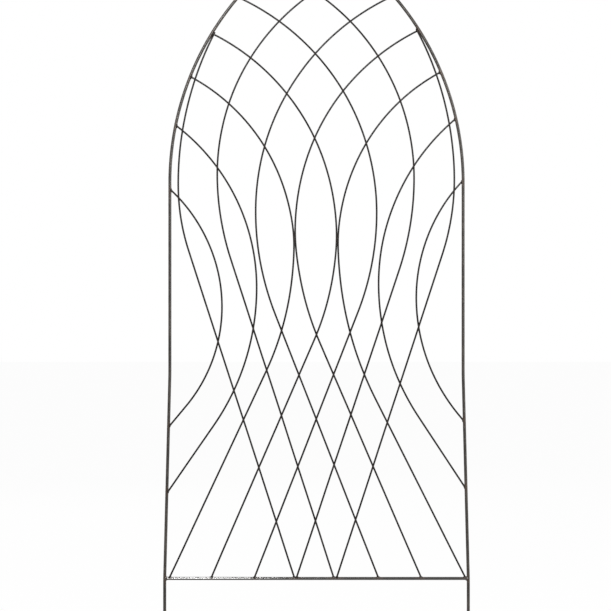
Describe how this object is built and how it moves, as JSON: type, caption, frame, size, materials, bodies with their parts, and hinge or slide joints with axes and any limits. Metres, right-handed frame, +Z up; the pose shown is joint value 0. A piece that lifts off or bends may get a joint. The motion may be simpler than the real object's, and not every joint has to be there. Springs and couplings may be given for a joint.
{
  "type": "arch trellis",
  "caption": "Flat garden trellis of welded round steel rod, with a pointed arch, a lattice of curved rods and two ground spikes.",
  "frame": {"origin": "on the ground side, midway between the tips of the two legs, in the plane of the frame's axes", "axes": "+Z up the trellis towards the point of the arch, +X along the crossbar to the right as seen from the front, +Y from the front to the back"},
  "size_m": [0.77, 0.0102, 1.9296],
  "materials": {
    "frame_paint": "satin",
    "lattice_paint": "satin"
  },
  "bodies": {
    "root": {"frame_right_rod": "frame_paint", "frame_left_rod": "frame_paint", "crossbar": "frame_paint", "front_rod_1": "lattice_paint", "front_rod_2": "lattice_paint", "front_rod_3": "lattice_paint", "front_rod_4": "lattice_paint", "front_rod_5": "lattice_paint", "front_rod_6": "lattice_paint", "front_rod_7": "lattice_paint", "back_rod_1": "lattice_paint", "back_rod_2": "lattice_paint", "back_rod_3": "lattice_paint", "back_rod_4": "lattice_paint", "back_rod_5": "lattice_paint", "back_rod_6": "lattice_paint", "back_rod_7": "lattice_paint"}
  },
  "joints": []
}
